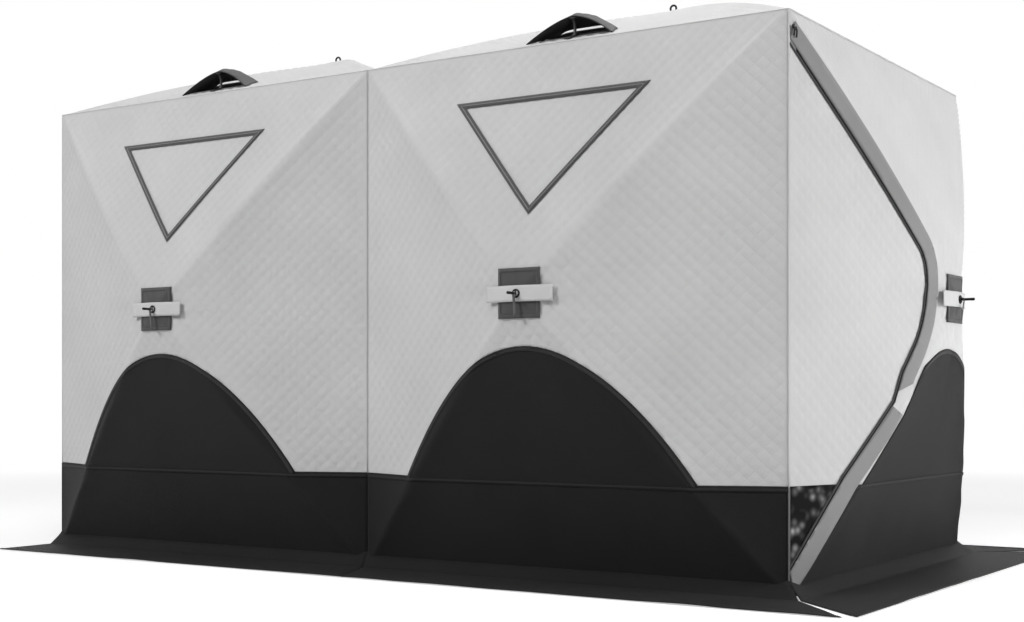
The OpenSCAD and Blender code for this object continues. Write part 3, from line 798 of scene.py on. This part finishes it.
def make_tab(name, panel):
    """Stiff pale tab across a hub: its ends curl off the patch, with a stitched fold near each."""
    grid = np.meshgrid(np.linspace(-TAB_W / 2, TAB_W / 2, 37), HUB + np.linspace(-TAB_H / 2, TAB_H / 2, 7),
                       indexing="ij")
    u, v = (x.ravel() for x in grid)
    stand = 0.0085 + np.where(u < 0, 0.009, 0.004) * np.clip((np.abs(u) - 0.05) / 0.08, 0, 1) ** 1.5
    stand += 0.0012 * (np.abs(np.abs(u) - 0.113) < 0.004)
    height = panel.level(u, np.full(len(u), HUB)) + stand
    tab = build(name + "_hub_tab", panel.world(u, v, height), grid_faces(37, 7), np.stack([u, v], axis=1),
                MAT["plain_pale"])
    tab["flat_area"] = TAB_W * TAB_H
    thicken(tab, 0.003)
    declare(tab)
    return tab


def make_pull(name, panel, base, tip):
    """Rod that pulls a hub out, with the ring and the bar at its foot."""
    profile = [(r, base + h) for r, h in ROD_FOOT] + [(r, tip + h) for r, h in ROD_TIP]
    rod = lathe(name + "_rod", panel.world([0], [HUB], [0])[0], panel.out, panel.across, profile, *WIRE)
    loop = wire_ring(panel.world([0], [HUB], [base + 0.0032]), panel.across, panel.up, 0.0029)
    bar = panel.world([0, 0], [HUB - 0.012, HUB + 0.012], [base + 0.003] * 2)
    return join(name + "_pull", [rod, loop, tube("bridge", bar, 0.0016, *WIRE)])


def make_strap(name, panel, base):
    """Ribbon from a rod down in front of the tab."""
    path = np.array([(HUB + v, base + 0.013 + n) for v, n in STRAP])
    across = np.linspace(-0.005, 0.005, 4)
    run = np.concatenate([[0], np.cumsum(np.linalg.norm(np.diff(path, axis=0), axis=1))])
    points = np.vstack([panel.world(across, np.full(4, v), np.full(4, n)) for v, n in path])
    strap = build(name + "_strap", points, grid_faces(len(path), 4), [(x, r) for r in run for x in across],
                  MAT["strap"])
    thicken(strap, 0.0018, 0.0)
    return strap


def make_hub_dressing():
    patches, tabs, pulls, straps = [], [], [], []
    for name, panel in WALLS.items():
        skin = float(panel.level(0.0, HUB))
        base = skin + 0.0088
        patches.append(make_patch(name, panel))
        tabs.append(make_tab(name, panel))
        pulls.append(make_pull(name, panel, base, skin + 0.063))
        straps.append(make_strap(name, panel, base))
    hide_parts("hub_patches")
    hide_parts("hub_tabs")
    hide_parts("hub_pulls")
    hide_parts("pull_straps")


def make_roof_rings():
    for name, panel in ROOFS.items():
        base = float(panel.level(0.0, 0.0))
        boss = lathe(name + "_boss", panel.world([0], [0], [0])[0], panel.out, panel.across,
                     [(r, base + h) for r, h in ROOF_BOSS], MAT["nylon"], "coated_metal")
        loop = wire_ring(panel.world([0], [0], [base + 0.0190]), panel.across, panel.out, 0.0040)
        join(name + "_ring", [boss, loop])
    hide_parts("roof_rings")


# ---------------- roof vents
HOOD_HALF, HOOD_REAR_HALF, HOOD_RISE = 0.175, 0.125, 0.072
HOOD_BACK, HOOD_LEAN, HOOD_END = 0.060, 0.062, 0.200
HOOD_T, HOOD_ROUND, HOOD_CROWN, HOOD_SLIT, HOOD_SILL = 0.003, 1.6, 0.004, 0.023, 0.012
HOOD_LIFT = 0.0003
MESH_W, MESH_L, MESH_NEAR = 0.230, 0.060, 0.117
SLOPE = math.atan(ROOF_BULGE * 1.3 / (DEPTH / 2))


def up_roof(back):
    """Height in a roof panel's frame of a place that far up its front facet."""
    return -DEPTH / 2 + back * math.cos(SLOPE)


def vent_ring():
    return box_ring(-MESH_W / 2, MESH_W / 2, up_roof(MESH_NEAR), up_roof(MESH_NEAR + MESH_L))


def on_facet(panel, u, back, height):
    """Points above a roof's front facet: across, up the slope and out of it."""
    u, back, height = (x.ravel() for x in np.broadcast_arrays(u, back, height))
    facet_out = math.cos(SLOPE) * panel.out - math.sin(SLOPE) * panel.up
    v = up_roof(back)
    return panel.world(u, v, panel.level(u, v)) + np.outer(height, facet_out)


def hood_place(panel, t, share, height):
    """Points of a hood at t, from -1 to 1 between its feet, and at a share of the way from its
    front edge to its rear wall."""
    front = HOOD_BACK + HOOD_LEAN * hood_share(t)
    across = t * (HOOD_HALF + (HOOD_REAR_HALF - HOOD_HALF) * share)
    return on_facet(panel, across, front + (HOOD_END - front) * share, height)


def hood_share(t):
    """How high a hood stands at t, as a share of its rise."""
    return 1 - np.abs(t) ** HOOD_ROUND


def hood_rows(t):
    """Rows of (share, height) over the top of a hood and down its rear wall."""
    s = hood_share(t)
    top = HOOD_LIFT + HOOD_T + (HOOD_RISE - HOOD_T) * s
    low = HOOD_LIFT + HOOD_SLIT * (1 - np.abs(t) ** 5)
    top = np.maximum(top, low + HOOD_T)
    over = [(x, top + HOOD_CROWN * s * lift) for x, lift in
            ((0, 0), (0.2, 0.6), (0.45, 1.0), (0.7, 0.6), (0.88, -0.2), (0.97, -1.2))]
    down = [(1 + 0.03 * share, low + (top - HOOD_CROWN * s - low) * (1 - share) - 0.0005)
            for share in (0.08, 0.35, 0.7, 1.0)]
    return over + down


def make_hood(name, panel):
    ts = np.linspace(-1, 1, 65)
    rows = hood_rows(ts)
    points, uvs = [], []
    for i, (share, height) in enumerate(rows):
        ripple = 0.0014 * np.sin(ts * 9 + 1.0 + i * 0.7) + 0.0008 * np.sin(ts * 23 + i)
        points.append(hood_place(panel, ts, share, height + ripple * hood_share(ts) * (0 < i < 9)))
        uvs += [(t * HOOD_HALF * 1.12, 0.014 * i) for t in ts]
    hood = build(name + "_vent_hood", np.vstack(points), grid_faces(len(rows), len(ts)), uvs, MAT["hood"])
    hood["flat_area"] = HOOD_HALF * 2.24 * 0.110
    thicken(hood, HOOD_T, -1.0, lining=MAT["hood_lining"])
    trims = [tube(f"{name}_vent_hood_edge", hood_place(panel, ts, share, height - 0.0015), 0.0022,
                  MAT["edging"], "hood_fabric", sides=8) for share, height in (rows[0], rows[-1])]
    ts = np.linspace(-0.93, 0.93, 41)
    sill = [hood_place(panel, ts, 0.99, HOOD_SILL * (1 - np.abs(ts) ** 5) * x) for x in (0, 0.5, 1)]
    uvs = [(t * HOOD_REAR_HALF, 0.006 * i) for i in range(3) for t in ts]
    strip = build(name + "_vent_hood_sill", np.vstack(sill), grid_faces(3, len(ts)), uvs, MAT["velcro"])
    thicken(strip, 0.0025, 0.0)
    declare(hood)
    return hood


def make_strut(name, panel):
    """Curved plastic prop from its pad in front of the opening up to the hood's front edge."""
    share = np.linspace(0, 1, 14)
    foot, head = HOOD_BACK + HOOD_LEAN - 0.016, HOOD_BACK + HOOD_LEAN + 0.004
    back = foot + (head - foot) * share + 0.006 * np.sin(math.pi * share)
    height = 0.0015 + (HOOD_RISE - 0.0060) * share
    girth = 0.75 + 1.3 * (2 * np.abs(share - 0.45)) ** 3
    shaft = tube("strut", on_facet(panel, 0, back, height), 0.0068, MAT["nylon"], "black_plastic",
                 scale=girth, sides=14)
    pad = panel_cloth("pad", panel, box_ring(-0.018, 0.010, up_roof(foot - 0.050), up_roof(foot + 0.004)),
                      MAT["nylon"], lift=0.0060, thick=0.004, step=0.010, folds=0, slack=0)
    return join(name + "_vent_strut", [shaft, pad])


def make_vents():
    hoods, struts, nets = [], [], []
    for name, panel in ROOFS.items():
        hoods.append(make_hood(name, panel))
        struts.append(make_strut(name, panel))
        ring = vent_ring()
        net = panel_cloth(name + "_vent_net", panel, shift(ring, -0.004, True), MAT["net"],
                          lift=-0.0100, thick=0.0008, step=0.012, folds=0, slack=0)
        nets.append(net)
        declare(net)
        tape = box_ring(-0.140, 0.140, up_roof(0.088), up_roof(0.104))
        for part, outline, holes, finish, lift in (
                ("binding", shift(ring, -0.012, True), [shift(ring, 0.002, True)], "trim", 0.0025),
                ("velcro", tape, [], "velcro", 0.0022)):
            panel_cloth(f"{name}_vent_{part}", panel, outline, MAT[finish], holes=holes,
                        lift=lift, thick=0.0025, step=0.010, folds=0, slack=0)
    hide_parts("vent_hoods")
    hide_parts("vent_struts")
    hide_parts("vent_meshes")


# ---------------- door and zip
def zip_path(grow, low, high):
    """The door's free edge between two heights, moved outward by grow."""
    path = resample(door_edge(grow), 0.01, closed=False)
    return path[(path[:, 1] <= high) & (path[:, 1] >= low)]


def clear_of_hinge(path):
    """The part of a path that the door doesn't meet when it swings open."""
    return path[path[:, 0] > HINGE_CLEAR - DEPTH / 2]


def zip_tape(name, near, far, body="shelter"):
    """One of the zip's two tapes, between two paths."""
    return panel_cloth(name, WALLS["right_end"], strip_ring(near, far), MAT["tape"], body=body,
                       lift=0.0035, thick=0.002, step=0.008, slack=0, folds=0)


def make_door():
    panel = WALLS["right_end"]
    half = panel.half
    top = panel_cloth("door_cloth", panel, door_edge(), MAT["quilt"], body="door",
                      holes=[box_ring(-half - 0.1, half, -0.1, BAND)], puff=PUFF, thick=WALL_T, seed=31)
    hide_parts("door_panel")
    declare(top)
    foot = panel_cloth("door_foot_film", panel, door_edge(), MAT["film"], body="door",
                       holes=[box_ring(-half - 0.1, half, BAND + 0.004, CORNER)], lift=0.001, thick=BASE_T,
                       step=0.020, seed=12, slack=0.003)
    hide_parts("door_lower_panel")
    declare(foot)
    near, far = (zip_path(grow, 0.0, CORNER) for grow in (-0.0005, -0.006))
    tape = zip_tape("door_zip_tape_cloth", near, far, "door")
    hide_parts("door_zip_tape")


def make_zip():
    panel = WALLS["right_end"]
    near, far, spine = (clear_of_hinge(zip_path(grow, 0.0, CORNER)) for grow in (0.0005, 0.009, 0.003))
    zip_tape("fixed_zip_tape", near, far)
    tube("zip_coil", panel.point(spine[:, 0], spine[:, 1], 0.0044), 0.0020, MAT["lining"], "webbing", sides=8)
    middle = HUB - 0.357
    for label, near, inner, outer in (
            ("upper", 0.007, (middle + 0.032, CORNER - 0.032), (middle + 0.052, CORNER - 0.032)),
            ("lower", 0.005, (0.020, middle - 0.014), (0.004, middle - 0.044))):
        ring = strip_ring(zip_path(ZIP_BAND + DOOR_GAP, *outer), zip_path(near, *inner))
        band = panel_cloth(f"zip_band_{label}_cloth", panel, ring, MAT["band"], lift=0.0052,
                           thick=0.0025, step=0.014, slack=0.0008, folds=0.3)
        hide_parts("zip_band_" + label)
    first = np.cross(panel.out, (0, 1, 0.3))
    first /= np.linalg.norm(first)
    for i in (0, 1):
        u, v = -panel.half + 0.006 + 0.010 * i, CORNER - 0.056 - 0.006 * i
        slider = lathe("slider", panel.point(u, v, 0.010)[0], panel.out, first,
                       [(0.005, -0.004), (0.0062, -0.002), (0.0062, 0.002), (0.004, 0.0035)], *WIRE,
                       sides=12)
        drop = ((0.002, 0.013), (0.010, 0.0145), (0.020, 0.0135), (0.030, 0.012))
        tag = tube("tag", [panel.point(u, v - down, lift)[0] for down, lift in drop], 0.0028, *WIRE)
        join(f"zip_pull_{i + 1}", [slider, tag])
    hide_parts("zip_pulls")


# ---------------- frame inside
def finish_frame():
    """The frame's own solids keep their shape and take a finish."""
    for finish, nodes in (("rod", ("front_poles", "back_poles", "end_poles", "roof_poles")),
                          ("nylon", ("wall_hubs", "roof_hubs", "top_sockets", "bottom_sockets"))):
        for node in nodes:
            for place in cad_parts[node].material_slots:
                place.material = MAT[finish]


make_walls()
make_bases()
make_roofs()
make_seams()
make_skirts()
make_windows()
make_hub_dressing()
make_roof_rings()
make_vents()
make_door()
make_zip()
finish_frame()


# ---------------- stage
FLOOR_GLOW = 0.48  # the floor's own light near the shelter, seen by the camera only
FLOOR_SIZE = 60.0
AMBIENT = 0.06
CAMERA_AT, CAMERA_TURN = (3.667, -5.447, 0.637), 33.28
LENS, SENSOR, LENS_SHIFT = 54.6, 36.0, 0.0843
LIGHTS = {  # place, target, size in metres and power in watts
    "key_left": ((-5.0, -11.0, 8.5), (0.3, -0.5, 1.0), (3.0, 3.0), 1130),
    "top": ((0.5, 1.0, 6.0), (0, 0.2, 1.5), (4.0, 3.0), 118),
    "top_front": ((2.5, -4.5, 7.0), (0.5, -0.5, 1.2), (3.0, 3.0), 135),
    "right_side": ((8.5, 0.5, 2.6), (1.7, 0, 1.0), (3.0, 3.0), 395),
    "low_right": ((2.9, 0.6, 0.06), (1.85, 0.2, 0.7), (0.8, 1.2), 12),
}


def straight_rays(n):
    """1 for rays that see the studio from the camera, also by way of gloss or glass."""
    rays = n.add("ShaderNodeLightPath").outputs
    mirrored = n.math("MAXIMUM", rays["Is Glossy Ray"], rays["Is Transmission Ray"])
    return n.math("MAXIMUM", rays["Is Camera Ray"], mirrored)


def make_floor():
    """White floor: takes the shadow near the shelter and is plain white far from it."""
    n = Nodes("studio_floor")
    length = n.add("ShaderNodeVectorMath", {0: n.place("Object")[0]}, operation="LENGTH")
    far = n.ramp(length.outputs["Value"], 4.0, 8.0)
    glow = n.math("MULTIPLY", straight_rays(n), n.ramp(far, 0.0, 1.0, FLOOR_GLOW, 1.0))
    mat = n.surface({"Base Color": n.mix(far, grey(0.80), grey(0.0)), "Roughness": 0.9,
                     "Specular IOR Level": 0.0, "Emission Color": grey(1), "Emission Strength": glow})
    mesh = bpy.data.meshes.new("studio_floor")
    s = FLOOR_SIZE
    mesh.from_pydata([(-s, -s, 0), (s, -s, 0), (s, s, 0), (-s, s, 0)], [], [(0, 1, 2, 3)])
    mesh.materials.append(mat)
    floor = bpy.data.objects.new("studio_floor", mesh)
    floor.location = (0, 0, -0.0005)
    bpy.context.scene.collection.objects.link(floor)


def area_light(name, location, target, size, power):
    light = bpy.data.lights.new(name, "AREA")
    light.shape, light.size, light.size_y, light.energy = "RECTANGLE", size[0], size[1], power
    lamp = bpy.data.objects.new(name, light)
    lamp.location = location
    aim = Vector(target) - Vector(location)
    lamp.rotation_euler = aim.to_track_quat("-Z", "Y").to_euler()
    bpy.context.scene.collection.objects.link(lamp)


def make_world():
    n = Nodes("studio", "worlds", "Background")
    strength = n.ramp(straight_rays(n), 0.0, 1.0, AMBIENT, 1.0)
    bpy.context.scene.world = n.surface({"Color": grey(1), "Strength": strength})


def make_camera():
    data = bpy.data.cameras.new("photo_view")
    data.sensor_width, data.lens, data.shift_y = SENSOR, LENS, LENS_SHIFT
    camera = bpy.data.objects.new("photo_view", data)
    camera.location = CAMERA_AT
    camera.rotation_euler = (math.pi / 2, 0, math.radians(CAMERA_TURN))
    bpy.context.scene.collection.objects.link(camera)
    bpy.context.scene.camera = camera


make_floor()
make_world()
for name, settings in LIGHTS.items():
    area_light(name, *settings)
make_camera()
bpy.context.scene.view_settings.view_transform = "Standard"
